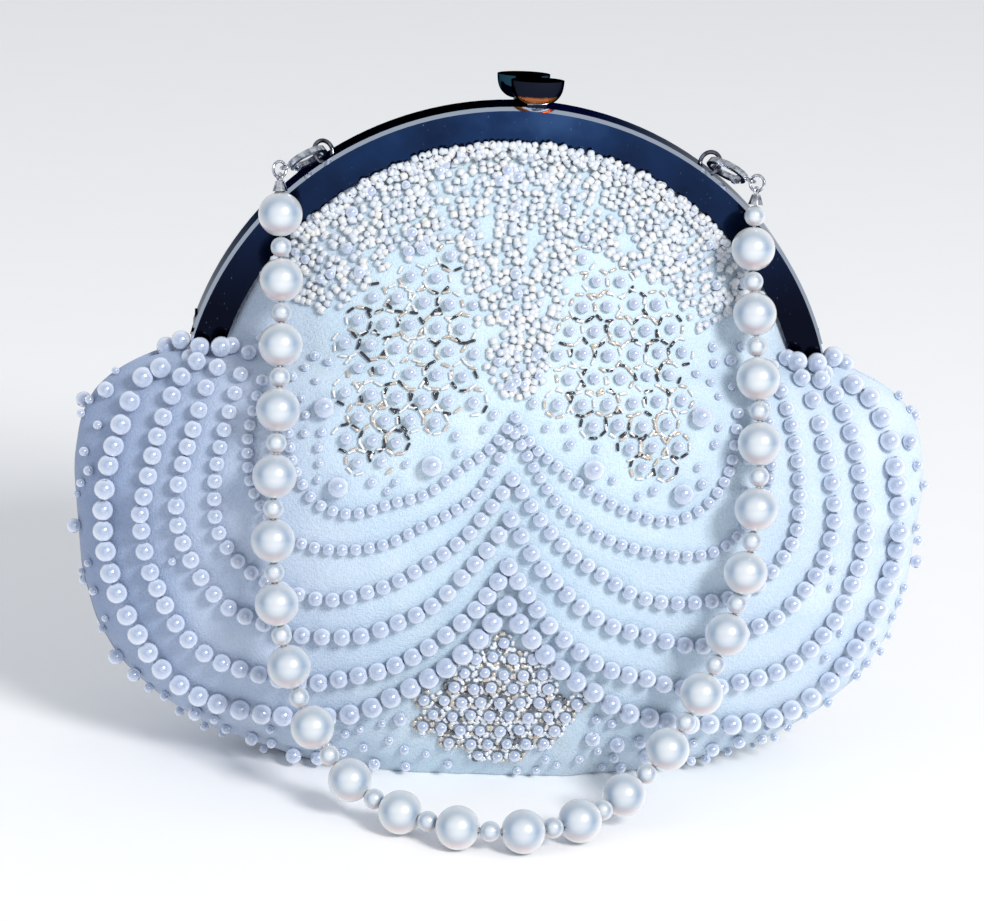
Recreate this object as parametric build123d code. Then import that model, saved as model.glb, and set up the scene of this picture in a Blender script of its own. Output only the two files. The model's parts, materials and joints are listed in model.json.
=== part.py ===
from build123d import *
import os
from math import cos, pi, radians, sin, sqrt, tan

# Evening bag: a padded fabric pouch glued into a hinged arched metal frame with a kiss lock,
# and a strand of beads clasped to two loops on the frame, draped down the front.
# Millimetres. +X is to the viewer's right, the front faces -Y, +Z is up.
# The origin is the middle of the flat base, on the surface that the bag stands on.

# ---------------------------------------------------------------- driving dimensions
FRAME_R = 85.3            # outer radius of the frame's arc
FRAME_Z = 90.7            # height of the arc's centre
BAND = 9.0                # width of the frame's face
HALF_DEPTH = 5.6          # depth of one frame half
SPLIT = 0.1               # each half stops this short of the middle plane
PLATE = 0.8               # sheet thickness of the frame's channel
RIM = 0.9                 # bevel on the frame's outer edge
HINGE_Z = 111.5           # height of the rivet axis
BAND_FOOT = 4.5           # the channel ends this far above the rivet axis
FACE_FOOT = 0.2           # the face plate ends this far above the rivet axis
STRIP_START = 8           # sweeps along the arc start this many degrees above its centre

EAR_R = 3.6               # radius of a hinge ear
EAR_T = 1.2               # thickness of a hinge ear
FRONT_EAR_X = 78.4        # inner face of the front half's ear
BACK_EAR_X = 79.9         # inner face of the back half's ear
RIVET_R = 1.2
RIVET_HEAD_R = 2.0
RIVET_HEAD_T = 0.6
RUNNING = 0.05            # radial clearance of the rivet in the moving ear

KNOB_W = 13.6             # kiss-lock knob: width, depth and height
KNOB_D = 7.2
KNOB_H = 6.0
FRONT_KNOB_X = 4.2        # the two knobs stand to either side of the lock's middle,
BACK_KNOB_X = 1.2         # which sits a little to the right on this bag
KNOB_GAP = 0.3            # each knob stops this short of the middle plane
NECK_H = 0.9
NECK_W = 4.8
NECK_D = 0.9              # depth of the neck in front of the knob's middle
NECK_SINK = 1.0

FABRIC = 1.2              # outer fabric with its backing
WADDING = 1.5
LINING = 0.9
PLY_GAP = 0.3
BOARD_T = 1.5             # stiffener in the base
MOUTH_CUT = 0.5           # the inner volume of a ply is cut this far past the pouch's mouth

# height, half-width, half-depth and fullness of the pouch's level sections;
# fullness 0.5 is an ellipse and 1.0 is a lens that comes to an edge at the side seams
POUCH = [
    (0.0, 55.0, 18.0, 0.5),
    (7.0, 75.0, 23.5, 0.5),
    (15.0, 88.0, 27.5, 0.5),
    (25.0, 98.6, 30.5, 0.5),
    (36.0, 105.0, 32.6, 0.5),
    (50.0, 109.0, 33.8, 0.5),
    (78.0, 111.5, 34.0, 0.5),
    (90.0, 110.0, 33.8, 0.6),
    (101.5, 103.0, 33.4, 0.8),
    (111.5, 89.0, 33.0, 1.0),
]
YOKE_FOOT = HINGE_Z + 0.2     # the panels inside the arch start here
YOKE_HEAD = 165.9
YOKE_EDGE = 3.7               # distance of the glued edge from the middle plane
FRONT_YOKE_DEPTH = 32.4
BACK_YOKE_DEPTH = 27.3        # shallower, so that it tucks inside the pouch when the bag opens
YOKE_LEVELS = 7
HINGE_POCKET_R = 6.4          # clear space round the rivets inside the pouch
HINGE_POCKET_X = (71.5, 83.6)
BACK_NOTCH = (68.5, 83.6, 0.0, 13.0, 104.5, 113.5)   # room for the opening frame's ends

LARGE_PEARL = 11.2            # beads of the strand, in pairs of a large and a small one
SMALL_PEARL = 5.25
PEARL_PAIRS = 24
PEARL_GAP = 0.1
PEARL_BORE_R = 0.7
CORD_R = 0.4
FIRST_PEARL = 5.75            # distance of the first bead's middle from the strand's left end

LOOP_X = 49.5                 # handle loop: place along the frame, ring radius and wire radius
LOOP_R = 2.8
LOOP_WIRE_R = 0.55
LOOP_TURN = 38.0              # the ring is turned this far about the frame's radius, in degrees
LOOP_STAND = 2.0              # height of the ring's centre above the frame's outer edge
LOOP_Y = -2.9
CLASP_L = 12.0
CLASP_W = 6.4
CLASP_T = 1.5
CLASP_TILT = -30.0            # turn of the clasp about its own length, in degrees
CLASP_WALL = 1.25
PIVOT = (8.3, 1.9)            # the trigger's pin in the clasp's own frame
GATE_X = (3.7, 9.6)           # the stretch of the clasp's side that the trigger fills
EYE_REACH = 0.6               # the tail eye's centre stands this far past the clasp's length
EYE_R = 1.2
EYE_TURN = 50.5               # turn of the eye about the clasp's length, to face along the jump ring
EYE_WIRE_R = 0.38
PIN_R = 0.34
PIN_HEAD_R = 0.62
BOSS_R = 0.95
GATE_FLOOR = 0.35             # thickness left under the trigger
RING_R = 2.0                  # jump ring between clasp and bead tip
RING_WIRE_R = 0.38
TIP_R = 1.1                   # bead tip at each end of the strand: foot radius, length and flare
TIP_L = 2.6
TIP_FLARE = 18
TIP_GAP = 0.05
TIP_EYE_R = 1.0
TIP_EYE_WIRE_R = 0.3

# The strand's route, from the left bead tip down the front, along the surface that the bag
# stands on and up to the right bead tip. Both ends mirror each other.
ROUTE = [
    (-60.4, -13.0, 154.2),
    (-59.8, -16.0, 140.5),
    (-59.3, -22.8, 124.0),
    (-59.5, -32.6, 106.5),
    (-60.3, -38.6, 88.0),
    (-60.3, -39.8, 68.0),
    (-58.4, -40.6, 49.5),
    (-54.2, -42.6, 33.5),
    (-47.8, -46.2, 20.0),
    (-39.2, -51.8, 10.2),
    (-28.2, -60.6, 6.0),
    (-13.8, -71.2, 6.0),
    (3.4, -74.0, 6.0),
    (19.8, -65.0, 6.0),
    (30.6, -53.6, 8.4),
    (40.6, -48.4, 17.0),
    (48.6, -45.4, 29.6),
    (54.6, -43.0, 44.0),
    (59.6, -40.8, 61.0),
    (62.2, -39.4, 80.0),
    (62.5, -33.8, 99.5),
    (61.6, -24.0, 119.5),
    (59.8, -16.0, 140.5),
    (60.4, -13.0, 154.2),
]


# ---------------------------------------------------------------- helpers
def block(x0, x1, y0, y1, z0, z1):
    """An axis-aligned box between two corners."""
    centre = ((x0 + x1) / 2, (y0 + y1) / 2, (z0 + z1) / 2)
    return Pos(*centre) * Box(x1 - x0, y1 - y0, z1 - z0)


def rod(x0, x1, radius, y, z):
    """A cylinder along X."""
    return Pos((x0 + x1) / 2, y, z) * Rot(0, 90, 0) * Cylinder(radius, x1 - x0)


def arc_strip(outline):
    """Sweeps an outline of (radius, y) points along the frame's arc, past both rivets."""
    start = radians(STRIP_START)
    plane = Plane(
        origin=(0, 0, FRAME_Z),
        x_dir=(cos(start), 0, sin(start)),
        z_dir=(-sin(start), 0, cos(start)),
    )
    face = plane * make_face(Polyline(*outline, close=True))
    axis = Axis((0, 0, FRAME_Z), (0, -1, 0))
    return revolve(face, axis=axis, revolution_arc=180 - 2 * STRIP_START)


def frame_cylinder():
    """Everything within the frame's outer radius, and a hair more."""
    return Pos(0, 0, FRAME_Z) * Rot(90, 0, 0) * Cylinder(FRAME_R + 0.02, 40)


def above(shape, z):
    """The part of a shape above a height."""
    return shape & block(-200, 200, -200, 200, z, 300)


def to_back(shape):
    """Mirrors a front piece to the back."""
    return mirror(shape, about=Plane.XZ)


def to_right(shape):
    """Mirrors a left piece to the right."""
    return mirror(shape, about=Plane.YZ)


# ---------------------------------------------------------------- frame
def frame_channel():
    """The front half's channel and face plate, without its ears."""
    inner = FRAME_R - BAND
    outline = [
        (inner, -HALF_DEPTH),
        (FRAME_R - RIM, -HALF_DEPTH),
        (FRAME_R, -HALF_DEPTH + RIM),
        (FRAME_R, -SPLIT),
        (inner, -SPLIT),
        (inner, -SPLIT - PLATE),
        (FRAME_R - PLATE, -SPLIT - PLATE),
        (FRAME_R - PLATE, -HALF_DEPTH + PLATE + RIM / 2),
        (FRAME_R - PLATE - RIM / 2, -HALF_DEPTH + PLATE),
        (inner, -HALF_DEPTH + PLATE),
    ]
    channel = above(arc_strip(outline), HINGE_Z + BAND_FOOT)
    face_outline = [
        (inner, -HALF_DEPTH),
        (FRAME_R - RIM, -HALF_DEPTH),
        (FRAME_R - RIM / 2, -HALF_DEPTH + RIM / 2),
        (FRAME_R - RIM / 2, -HALF_DEPTH + PLATE),
        (inner, -HALF_DEPTH + PLATE),
    ]
    face = above(arc_strip(face_outline), HINGE_Z + FACE_FOOT)
    return channel + face


def hinge_ears(x0, hole_r):
    """A pair of ears about the rivet axis, with webs that run up into the channel."""
    web_top = HINGE_Z + BAND_FOOT + 2.5
    web = block(x0, x0 + EAR_T, -HALF_DEPTH + 0.4, -0.4, HINGE_Z, web_top)
    ear = web + rod(x0, x0 + EAR_T, EAR_R, 0, HINGE_Z)
    ear = ear - rod(x0 - 1, x0 + EAR_T + 1, hole_r, 0, HINGE_Z)
    return ear + mirror(ear, about=Plane.YZ)


def frame_half(ear_x, hole_r):
    return frame_channel() + hinge_ears(ear_x, hole_r)


def hinge_rivet(side):
    """A rivet through both ears, with a head at each end."""
    left = FRONT_EAR_X - 0.2
    right = BACK_EAR_X + EAR_T + 0.2
    rivet = rod(left - RIVET_HEAD_T, right + RIVET_HEAD_T, RIVET_R, 0, HINGE_Z)
    rivet += rod(left - RIVET_HEAD_T, left, RIVET_HEAD_R, 0, HINGE_Z)
    rivet += rod(right, right + RIVET_HEAD_T, RIVET_HEAD_R, 0, HINGE_Z)
    return rivet if side > 0 else mirror(rivet, about=Plane.YZ)


def kiss_knob(x):
    """A front knob at a place across the bag: an oval bowl with a flat top on a short neck."""
    foot = FRAME_Z + FRAME_R + NECK_H
    centre_y = -KNOB_GAP - KNOB_D / 2
    levels = [(0.0, 0.5), (0.12, 0.7), (0.32, 0.86), (0.6, 0.96), (1.0, 1.0)]
    ovals = []
    for rise, spread in levels:
        place = Pos(x, centre_y, foot + rise * KNOB_H)
        ovals.append(place * Ellipse(spread * KNOB_W / 2, spread * KNOB_D / 2))
    bowl = loft(ovals)
    neck_foot = FRAME_Z + sqrt(FRAME_R**2 - (x - NECK_W / 2) ** 2) - NECK_SINK
    neck = block(x - NECK_W / 2, x + NECK_W / 2, centre_y - NECK_D, -SPLIT - 0.7, neck_foot, foot + 1)
    return bowl + (neck - frame_cylinder())


# ---------------------------------------------------------------- fabric
def half_section(z, width, depth, fullness):
    """The front half of one level section of the pouch, closed along the middle plane."""
    points = []
    for step in range(9):
        turn = pi * step / 8
        rise = sin(turn) ** (2 * fullness) if 0 < step < 8 else 0.0
        points.append((width * cos(turn), -(SPLIT + (depth - SPLIT) * rise), z))
    return make_face(Curve() + [Spline(*points), Line(points[-1], points[0])])


def half_pouch(inset, foot, head):
    """The front half of the pouch's volume, inset evenly, from one height up to another."""
    sections = [half_section(foot, POUCH[0][1] - inset, POUCH[0][2] - inset, POUCH[0][3])]
    for z, width, depth, fullness in POUCH[1:-1]:
        sections.append(half_section(z, width - inset, depth - inset, fullness))
    z, width, depth, fullness = POUCH[-1]
    sections.append(half_section(head, width - inset, depth - inset, fullness))
    return loft(sections)


def hinge_pockets():
    """The clear spaces that the hinge ears and the ends of the frame turn in."""
    pocket = rod(*HINGE_POCKET_X, HINGE_POCKET_R, 0, HINGE_Z)
    return pocket + mirror(pocket, about=Plane.YZ)


def pouch_ply(outset, thickness):
    """The front half of one ply of the pouch: a wall and a floor, open at the top."""
    top = POUCH[-1][0]
    inner = outset + thickness
    ply = half_pouch(outset, outset, top) - half_pouch(inner, inner, top + MOUTH_CUT)
    return ply - hinge_pockets()


def back_ply(front_ply):
    """A back ply, slit at the top of each side seam where the opening frame folds the fabric away."""
    notch = block(*BACK_NOTCH)
    return to_back(front_ply) - notch - mirror(notch, about=Plane.YZ)


def yoke_section(z, width, bulge, inner, outer):
    """One level section of a panel inside the arch, between two distances from its bulge."""
    near = []
    far = []
    for step in range(9):
        across = 1 - step / 4
        rise = bulge * (1 - across * across)
        near.append((width * across, -(inner + rise), z))
        far.append((width * across, -(outer + rise), z))
    sides = [Line(far[0], near[0]), Line(near[-1], far[-1])]
    return make_face(Curve() + [Spline(*near), Spline(*far)] + sides)


def yoke(depth, power, offset, thickness):
    """A front panel inside the arch, hanging from its glued edge down to the hinge level."""
    reach = FRAME_R - BAND - 0.3
    outer = YOKE_EDGE - offset
    inner = outer - thickness
    sections = []
    for level in range(YOKE_LEVELS):
        share = level / (YOKE_LEVELS - 1)
        z = YOKE_FOOT + share * (YOKE_HEAD - YOKE_FOOT)
        width = sqrt(reach**2 - (z - FRAME_Z) ** 2) - 0.3
        bulge = (depth - YOKE_EDGE) * (1 - share) ** power
        sections.append(yoke_section(z, width, bulge, inner, outer))
    return loft(sections)


def glued_edge(near, far, inner, outer):
    """An edge strip that lies in the frame's channel, clear of the ears' webs."""
    strip = arc_strip([(inner, -near), (outer, -near), (outer, -far), (inner, -far)])
    return above(strip, HINGE_Z + BAND_FOOT + 2.8)


def yoke_fabric(depth, power):
    edge = glued_edge(YOKE_EDGE - FABRIC, YOKE_EDGE, FRAME_R - BAND - 0.8, FRAME_R - 1.6)
    return yoke(depth, power, 0.0, FABRIC) + edge


def base_board():
    """The stiffener that keeps the base flat, under the lining."""
    lift = FABRIC + WADDING + LINING + 3 * PLY_GAP
    board = extrude(Ellipse(46.0, 12.0), BOARD_T)
    return Pos(0, 0, lift) * board


# ---------------------------------------------------------------- strand
def strand_path():
    """Straight runs joined by tangent arcs, each as large as its two runs allow."""
    corners = [Vector(*point) for point in ROUTE]
    radii = []
    for before, corner, after in zip(corners, corners[1:], corners[2:]):
        run_in = corner - before
        run_out = after - corner
        half_turn = radians(run_in.get_angle(run_out)) / 2
        radii.append(0.45 * min(run_in.length, run_out.length) / tan(half_turn))
    print("strand radii", [round(radius, 1) for radius in radii])
    return FilletPolyline(*corners, radius=radii)


def bored_ball(path, length, distance, diameter):
    """A bead threaded on the strand at a distance along it."""
    share = distance / length
    plane = Plane(origin=path @ share, z_dir=path % share)
    ball = Sphere(diameter / 2) - Cylinder(PEARL_BORE_R, diameter + 2)
    return plane * ball


def pearls(path, length, diameter, first):
    pitch = LARGE_PEARL + SMALL_PEARL + 2 * PEARL_GAP
    return [bored_ball(path, length, first + pitch * pair, diameter) for pair in range(PEARL_PAIRS)]


def strand_cord(path, length):
    section = Plane(origin=path @ 0, z_dir=path % 0) * Circle(CORD_R)
    cord = sweep(section, path=path)
    print("strand length", round(length, 1), "volume ratio", round(cord.volume / (pi * CORD_R**2 * length), 4))
    return cord


def strand_start(path):
    """The left end of the strand and the direction in which it leaves."""
    return path @ 0, path % 0


def ring_normal(path):
    """The jump ring's axis: the ring lies in the plane of the strand's end and the clasp."""
    heading = strand_start(path)[1]
    to_loop = (loop_centre() - ring_centre(path)).normalized()
    return heading.cross(to_loop).normalized()


def bead_tip(path):
    """A small cup over the knot at the strand's left end, with an eye for the jump ring."""
    start, heading = strand_start(path)
    foot = start - heading * (TIP_L + TIP_GAP)
    plane = Plane(origin=foot, x_dir=ring_normal(path), z_dir=heading)
    cup = extrude(Circle(TIP_R), TIP_L, taper=-TIP_FLARE)
    eye = Pos(0, 0, -TIP_EYE_R + 0.1) * Rot(90, 0, 0) * Torus(TIP_EYE_R, TIP_EYE_WIRE_R)
    return plane * (cup + eye)


def ring_centre(path):
    start, heading = strand_start(path)
    return start - heading * (TIP_L + TIP_GAP + TIP_EYE_R - 0.1 + RING_R)


def jump_ring(path):
    return Plane(origin=ring_centre(path), z_dir=ring_normal(path)) * Torus(RING_R, RING_WIRE_R)


# ---------------------------------------------------------------- clasps and loops
def loop_centre():
    radius = FRAME_R + LOOP_STAND
    return Vector(-LOOP_X, LOOP_Y, FRAME_Z + sqrt(radius**2 - LOOP_X**2))


def loop_axis():
    """The loop's axis: level with the frame's face, turned towards the run of the frame."""
    outward = (loop_centre() - Vector(0, LOOP_Y, FRAME_Z)).normalized()
    along_frame = Vector(-outward.Z, 0, outward.X)
    turn = radians(LOOP_TURN)
    return Vector(0, 1, 0) * cos(turn) + along_frame * sin(turn)


def handle_loop():
    """A wire ring soldered to the frame's outer edge, cut off where it meets the metal."""
    ring = Plane(origin=loop_centre(), z_dir=loop_axis()) * Torus(LOOP_R, LOOP_WIRE_R)
    return ring - frame_cylinder()


def clasp_plane(path):
    """The clasp's own frame: +X from the hook towards the jump ring, +Z through its flat."""
    hook = loop_centre()
    along = (ring_centre(path) - hook).normalized()
    axis = loop_axis()
    across = (axis - along * along.dot(axis)).normalized()
    tilt = radians(CLASP_TILT)
    flat_normal = along.cross(across) * cos(tilt) + across * sin(tilt)
    return Plane(origin=hook, x_dir=along, z_dir=flat_normal)


def clasp_slot():
    """The clasp's inner opening, as a plain prism."""
    slot = Ellipse(CLASP_L / 2 - CLASP_WALL, CLASP_W / 2 - CLASP_WALL)
    return Pos(CLASP_L / 2 - CLASP_WALL / 2, 0, -2) * extrude(slot, 4)


def post(radius, foot, height):
    """An upright cylinder about the trigger's pivot."""
    return Pos(*PIVOT, foot + height / 2) * Cylinder(radius, height)


def clasp_body():
    """The hook and its tail eye, with the trigger's side cut away."""
    outline = Pos(CLASP_L / 2 - CLASP_WALL / 2, 0, 0) * Ellipse(CLASP_L / 2, CLASP_W / 2)
    body = Pos(0, 0, -CLASP_T / 2) * extrude(outline, CLASP_T) - clasp_slot()
    gate = block(GATE_X[0], GATE_X[1], 0.6, 5, GATE_FLOOR - CLASP_T / 2, 5)
    body = body - gate
    pin_seat = post(BOSS_R, -CLASP_T / 2, GATE_FLOOR)
    body = body + pin_seat - Pos(*PIVOT, 0) * Cylinder(0.36, 6)
    eye = Pos(CLASP_L + EYE_REACH, 0, 0) * Rot(90 + EYE_TURN, 0, 0) * Torus(EYE_R, EYE_WIRE_R)
    return body + eye


def clasp_trigger():
    """The sprung gate: a bar that closes the hook, a boss on the pin and a thumb nub."""
    bottom = -CLASP_T / 2 + GATE_FLOOR + 0.1
    top = CLASP_T / 2
    outline = Pos(CLASP_L / 2 - CLASP_WALL / 2, 0, 0) * Ellipse(CLASP_L / 2, CLASP_W / 2)
    bar = Pos(0, 0, bottom) * extrude(outline, top - bottom) - clasp_slot()
    bar = bar & block(GATE_X[0] + 0.12, PIVOT[0], 0.8, 5, bottom, top)
    boss = post(BOSS_R, bottom, top - bottom)
    nub = block(PIVOT[0] - 1.9, PIVOT[0] - 0.6, 2.0, 3.7, bottom, top)
    trigger = bar + boss + nub
    return trigger - Pos(*PIVOT, 0) * Cylinder(0.40, 6)


def clasp_pin():
    pin = post(PIN_R, -CLASP_T / 2, CLASP_T + 0.3)
    return pin + post(PIN_HEAD_R, CLASP_T / 2 + 0.05, 0.3)


def clasp_spring():
    """The leaf that pushes the trigger shut, lying beside it on the clasp's floor."""
    near = PIVOT[0] + BOSS_R + 0.2
    return block(near, near + 0.15, 0.75, 2.1, -CLASP_T / 2 + 0.4, CLASP_T / 2 - 0.2)


# ---------------------------------------------------------------- the nodes
def build():
    path = strand_path()
    length = path.length
    pitch = (LARGE_PEARL + SMALL_PEARL) / 2 + PEARL_GAP
    print("beads end at", round(FIRST_PEARL + pitch * (2 * PEARL_PAIRS - 1) + SMALL_PEARL / 2, 2))

    nodes = {
        "front_frame": frame_half(FRONT_EAR_X, RIVET_R + 0.02),
        "back_frame": to_back(frame_half(BACK_EAR_X, RIVET_R + RUNNING)),
        "front_kiss_knob": kiss_knob(FRONT_KNOB_X),
        "back_kiss_knob": to_back(kiss_knob(BACK_KNOB_X)),
        "front_panel": pouch_ply(0.0, FABRIC),
        "front_wadding": pouch_ply(FABRIC + PLY_GAP, WADDING),
        "front_lining": pouch_ply(FABRIC + WADDING + 2 * PLY_GAP, LINING),
        "front_yoke": yoke_fabric(FRONT_YOKE_DEPTH, 1.1),
        "back_yoke": to_back(yoke_fabric(BACK_YOKE_DEPTH, 1.6)),
        "front_yoke_lining": yoke(FRONT_YOKE_DEPTH - FABRIC, 1.1, FABRIC + PLY_GAP, LINING),
        "back_yoke_lining": to_back(yoke(BACK_YOKE_DEPTH - FABRIC, 1.6, FABRIC + PLY_GAP, LINING)),
        "base_board": base_board(),
        "strand_cord": strand_cord(path, length),
        "large_pearls": pearls(path, length, LARGE_PEARL, FIRST_PEARL),
        "small_pearls": pearls(path, length, SMALL_PEARL, FIRST_PEARL + pitch),
    }
    for ply in ("panel", "wadding", "lining"):
        nodes["back_" + ply] = back_ply(nodes["front_" + ply])
    paper_cord = glued_edge(YOKE_EDGE - FABRIC - 1.3, YOKE_EDGE - FABRIC - 0.15, FRAME_R - BAND + 1.2, FRAME_R - 1.6)
    nodes["front_paper_cord"] = paper_cord
    nodes["back_paper_cord"] = to_back(paper_cord)

    clasp = clasp_plane(path)
    left_hardware = {
        "handle_loop": handle_loop(),
        "clasp_body": clasp * clasp_body(),
        "clasp_trigger": clasp * clasp_trigger(),
        "clasp_pin": clasp * clasp_pin(),
        "clasp_spring": clasp * clasp_spring(),
        "jump_ring": jump_ring(path),
        "bead_tip": bead_tip(path),
    }
    for name, shape in left_hardware.items():
        nodes["left_" + name] = shape
        nodes["right_" + name] = to_right(shape)
    nodes["left_hinge_rivet"] = hinge_rivet(-1)
    nodes["right_hinge_rivet"] = hinge_rivet(1)

    pivot = clasp.from_local_coords(Vector(*PIVOT, 0))
    print("left trigger pivot", [round(value, 3) for value in pivot], "axis", clasp.z_dir)
    return nodes


def main():
    os.makedirs("parts", exist_ok=True)
    for name, shape in build().items():
        solid = Compound(children=shape) if isinstance(shape, list) else shape
        export_step(solid, "parts/" + name + ".step")


main()
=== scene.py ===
"""Looks of the evening bag: beaded crepe pouch, polished frame, clasps and the bead strand."""

import json
import math
import random

import bpy
import numpy as np
from mathutils import Matrix, Vector, noise
from mathutils.bvhtree import BVHTree


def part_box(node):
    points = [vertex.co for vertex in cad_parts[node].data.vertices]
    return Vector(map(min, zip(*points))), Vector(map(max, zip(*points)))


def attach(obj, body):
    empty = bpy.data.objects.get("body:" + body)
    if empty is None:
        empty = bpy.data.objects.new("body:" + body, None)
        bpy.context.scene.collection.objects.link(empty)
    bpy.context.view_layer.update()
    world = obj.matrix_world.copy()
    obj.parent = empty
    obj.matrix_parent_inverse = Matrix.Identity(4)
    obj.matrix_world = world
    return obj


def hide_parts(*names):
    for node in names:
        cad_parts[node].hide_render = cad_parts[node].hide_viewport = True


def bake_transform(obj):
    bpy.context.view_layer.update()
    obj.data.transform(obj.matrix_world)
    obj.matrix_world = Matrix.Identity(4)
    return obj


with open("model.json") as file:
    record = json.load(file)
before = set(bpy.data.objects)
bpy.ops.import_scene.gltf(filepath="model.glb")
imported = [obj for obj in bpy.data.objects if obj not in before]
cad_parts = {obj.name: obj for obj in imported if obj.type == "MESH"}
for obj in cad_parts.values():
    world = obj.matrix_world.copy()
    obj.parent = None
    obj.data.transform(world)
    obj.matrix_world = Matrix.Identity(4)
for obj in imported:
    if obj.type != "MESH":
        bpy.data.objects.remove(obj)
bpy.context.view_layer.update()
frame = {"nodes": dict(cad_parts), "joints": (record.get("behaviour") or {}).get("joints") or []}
nodes = frame["nodes"]
rng = random.Random(7)
MM = 0.001

# ------------------------------------------------------------------ places taken from the frame
hinge = frame["joints"][0]["pos_m"][2] / MM          # height of the frame's rivets
arc_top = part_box("front_frame")[1].z / MM
FRAME_R = 85.3                                       # outer radius of the frame's arc
BAND = 9.0                                           # width of its face
arc_z = arc_top - FRAME_R                            # height of the arc's centre
band_inner = FRAME_R - BAND
face_y = -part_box("front_frame")[0].y / MM            # how far the frame's face stands forward
face_y = min(face_y, 5.6)

# the strand's route in millimetres, from its left end to its right end
ROUTE = [
    (-60.4, -13.0, 154.2), (-59.8, -16.0, 140.5), (-59.3, -22.8, 124.0), (-59.5, -32.6, 106.5),
    (-60.3, -38.6, 88.0), (-60.3, -39.8, 68.0), (-58.4, -40.6, 49.5), (-54.2, -42.6, 33.5),
    (-47.8, -46.2, 20.0), (-39.2, -51.8, 10.2), (-28.2, -60.6, 6.0), (-13.8, -71.2, 6.0),
    (3.4, -74.0, 6.0), (19.8, -65.0, 6.0), (30.6, -53.6, 8.4), (40.6, -48.4, 17.0),
    (48.6, -45.4, 29.6), (54.6, -43.0, 44.0), (59.6, -40.8, 61.0), (62.2, -39.4, 80.0),
    (62.5, -33.8, 99.5), (61.6, -24.0, 119.5), (59.8, -16.0, 140.5), (60.4, -13.0, 154.2),
]
LARGE_PEARL = 11.2
SMALL_PEARL = 5.25
PEARL_PAIRS = 24
CORD_D = 0.8
END_GAP = 0.15                                       # bare cord between each end and its first bead

# height, half-width, half-depth and fullness of the pouch's level sections, in millimetres
POUCH = [
    (0.0, 55.0, 18.0, 0.5), (7.0, 75.0, 23.5, 0.5), (15.0, 88.0, 27.5, 0.5), (25.0, 98.6, 30.5, 0.5),
    (36.0, 105.0, 32.6, 0.5), (50.0, 109.0, 33.8, 0.5), (78.0, 111.5, 34.0, 0.5), (90.0, 110.0, 33.8, 0.6),
]
# the shoulders, which roll inwards over the frame's ends
SHOULDER = [
    (98.0, 106.5, 33.6, 0.7), (103.5, 100.5, 33.4, 0.8), (107.2, 93.0, 33.2, 0.85),
    (109.4, 86.0, 33.0, 0.9), (110.8, 79.5, 32.8, 0.95), (111.8, 75.0, 32.5, 1.0),
]
YOKE_TOP = 166.0
YOKE_EDGE = 3.7                                      # depth of the cloth's edge inside the frame


# ------------------------------------------------------------------ camera
def aim_camera():
    """A long lens a metre away, a little above and to the left, turned slightly about its axis."""
    eye = Vector((-0.0811, -1.000, 0.3788))
    target = Vector((-0.00428, -0.020, 0.08657))
    roll = 0.046
    forward = (target - eye).normalized()
    right = forward.cross(Vector((0, 0, 1))).normalized()
    up = right.cross(forward)
    turned = right * math.cos(roll) + up * math.sin(roll)
    data = bpy.data.cameras.new("camera")
    data.lens = 146.4
    data.sensor_width = 36
    camera = bpy.data.objects.new("camera", data)
    axes = Matrix((turned, turned.cross(forward), -forward)).transposed()
    camera.matrix_world = Matrix.Translation(eye) @ axes.to_4x4()
    bpy.context.scene.collection.objects.link(camera)
    bpy.context.scene.camera = camera


aim_camera()


# ------------------------------------------------------------------ shader helpers
def start_material(name):
    """A node material with only its Principled shader, and a function that adds wired nodes."""
    material = bpy.data.materials.new(name)
    material.use_nodes = True
    tree = material.node_tree
    shader = tree.nodes["Principled BSDF"]

    def add(kind, inputs=(), **settings):
        made = tree.nodes.new(kind)
        for key, value in settings.items():
            setattr(made, key, value)
        for key, value in dict(inputs).items():
            if isinstance(value, bpy.types.NodeSocket):
                tree.links.new(value, made.inputs[key])
            else:
                made.inputs[key].default_value = value
        return made

    return material, tree, shader, add


def wire(tree, shader, **values):
    """Sets or links the shader's inputs, named with underscores for blanks."""
    for key, value in values.items():
        socket = shader.inputs[key.replace("_", " ")]
        if isinstance(value, bpy.types.NodeSocket):
            tree.links.new(value, socket)
        else:
            socket.default_value = value


def noise_fac(add, scale, detail, stretch=(1, 1, 1)):
    """Noise over the object's own space, in cycles per metre."""
    place = add("ShaderNodeTexCoord").outputs["Object"]
    mapped = add("ShaderNodeMapping", {"Vector": place, "Scale": stretch}).outputs[0]
    return add("ShaderNodeTexNoise", {"Vector": mapped, "Scale": scale, "Detail": detail}).outputs[0]


def ramp(add, fac, stops):
    made = add("ShaderNodeValToRGB", {"Fac": fac})
    elements = made.color_ramp.elements
    while len(elements) < len(stops):
        elements.new(0.5)
    for element, (place, colour) in zip(elements, stops):
        element.position = place
        element.color = (*colour, 1)
    return made.outputs[0]


def map_range(add, value, low, high):
    return add("ShaderNodeMapRange", {"Value": value, "To Min": low, "To Max": high}).outputs[0]


def blend_colour(add, fac, first, second, mode="MIX"):
    made = add("ShaderNodeMixRGB", {"Fac": fac, "Color1": first, "Color2": second}, blend_type=mode)
    return made.outputs[0]


def bump(add, height, distance, strength=1.0):
    return add("ShaderNodeBump", {"Height": height, "Distance": distance, "Strength": strength}).outputs[0]


def bead_tint(add):
    return add("ShaderNodeAttribute", attribute_name="tint").outputs["Fac"]


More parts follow.
